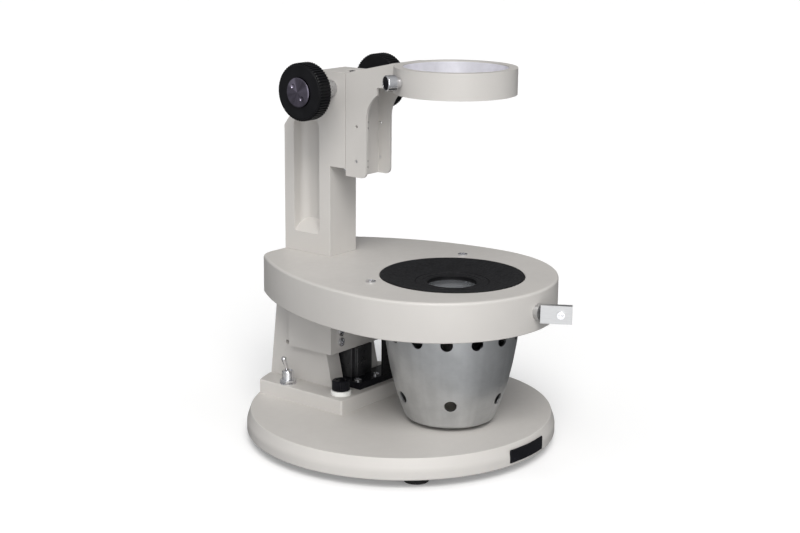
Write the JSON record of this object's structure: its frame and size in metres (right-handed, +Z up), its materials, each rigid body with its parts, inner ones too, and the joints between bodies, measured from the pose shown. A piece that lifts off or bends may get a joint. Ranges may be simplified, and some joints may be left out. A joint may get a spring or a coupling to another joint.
{
  "type": "stereo microscope stand",
  "caption": "Inclinable stand of a stereo microscope: round base, tilting lamp stage, column, and a geared focusing arm that ends in an empty clamping ring for the microscope head.",
  "frame": {"origin": "on the bench, at the middle of the stand's footprint, 15 mm in front of the base disc's axis", "axes": "+Z up; -Y is the front, where the ring, the lug and the badge are; the focus shaft lies along X"},
  "size_m": [0.2605, 0.2923, 0.3166],
  "materials": {
    "paint": "satin",
    "iron_paint": "satin",
    "cast_paint": "satin",
    "steel": "satin",
    "chrome": "polished",
    "bare_aluminium": "satin",
    "black_anodised": "satin",
    "black_paint": "satin",
    "black_plastic": "satin",
    "white_plastic": "gloss",
    "foot_rubber": "matte",
    "brass": "satin",
    "ceramic": "satin",
    "glass": "polished",
    "mirror": "polished"
  },
  "bodies": {
    "base": {"base_disc": "iron_paint", "rubber_feet": "foot_rubber", "foot_screws": "steel", "badge_plate": "black_anodised", "bottom_cover": "steel", "pedestal": "cast_paint", "pedestal_screws": "steel", "cord_bush": "black_plastic", "left_cheek": "cast_paint", "right_cheek": "cast_paint", "cheek_screws": "steel", "tilt_shaft": "steel", "shaft_caps": "black_plastic", "power_plate": "black_paint", "power_screws": "chrome", "transformer_core": "black_paint", "transformer_coil": "black_plastic", "rectifier_box": "black_plastic", "switch_body": "chrome", "switch_nut": "chrome", "fuse_body": "black_plastic", "fuse_ring": "white_plastic"},
    "stage": {"stage_plate": "cast_paint", "tilt_bracket": "cast_paint", "bracket_screws": "steel", "stop_screws": "chrome", "stage_screws": "chrome", "stage_insert": "black_anodised", "glass_retainer": "black_anodised", "glass_disc": "glass", "lamp_bowl": "bare_aluminium", "bowl_screws": "steel", "reflector": "mirror", "lamp_socket": "ceramic", "lamp_bulb": "glass", "front_boss": "bare_aluminium", "front_lug": "bare_aluminium", "lug_screw": "chrome", "column": "cast_paint", "column_screws": "steel", "shaft_sleeves": "bare_aluminium"},
    "arm": {"focus_arm": "cast_paint", "dovetail_rail": "steel", "rack": "steel", "rail_screws": "steel", "arm_plugs": "steel"},
    "focus_drive": {"focus_shaft": "steel", "focus_pinion": "brass", "left_knob": "black_plastic", "right_knob": "black_plastic", "knob_caps": "bare_aluminium"},
    "clamp": {"clamp_screw": "chrome"},
    "clamp_pad": {"clamp_tip": "brass"},
    "toggle": {"switch_lever": "chrome"},
    "fuse_holder_cap": {"fuse_cap": "black_plastic"}
  },
  "joints": [
    {"name": "tilt", "type": "hinge", "parent": "base", "child": "stage", "pos_m": [0, 0.115, 0.11], "axis": [-1, 0, 0], "range_deg": [0, 45]},
    {"name": "focus_slide", "type": "slide", "parent": "stage", "child": "arm", "axis": [0, 0, 1], "range_m": [-0.01, 0.04]},
    {"name": "focus_turn", "type": "hinge", "parent": "stage", "child": "focus_drive", "pos_m": [0, 0.0789, 0.2912], "axis": [1, 0, 0], "range_deg": [-385, 97]},
    {"name": "clamp_turn", "type": "hinge", "parent": "arm", "child": "clamp", "pos_m": [-0.04532, -0.01567, 0.3061], "axis": [0.9063, -0.4226, 0], "range_deg": [0, 360]},
    {"name": "clamp_press", "type": "slide", "parent": "arm", "child": "clamp_pad", "axis": [0.9063, -0.4226, 0], "range_m": [0, 0.001]},
    {"name": "switch_throw", "type": "hinge", "parent": "base", "child": "toggle", "pos_m": [-0.0456, 0.1028, 0.0474], "axis": [0, 1, 0], "range_deg": [0, 40]},
    {"name": "fuse_cap_turn", "type": "hinge", "parent": "base", "child": "fuse_holder_cap", "pos_m": [-0.039, 0.0486, 0.042], "axis": [0, 0, 1], "range_deg": [0, 60]}
  ],
  "couplings": [
    {"joint": "focus_turn", "follows": "focus_slide", "rad_per_m": -166.67},
    {"joint": "clamp_press", "follows": "clamp_turn", "m_per_rad": 0.00015915}
  ]
}
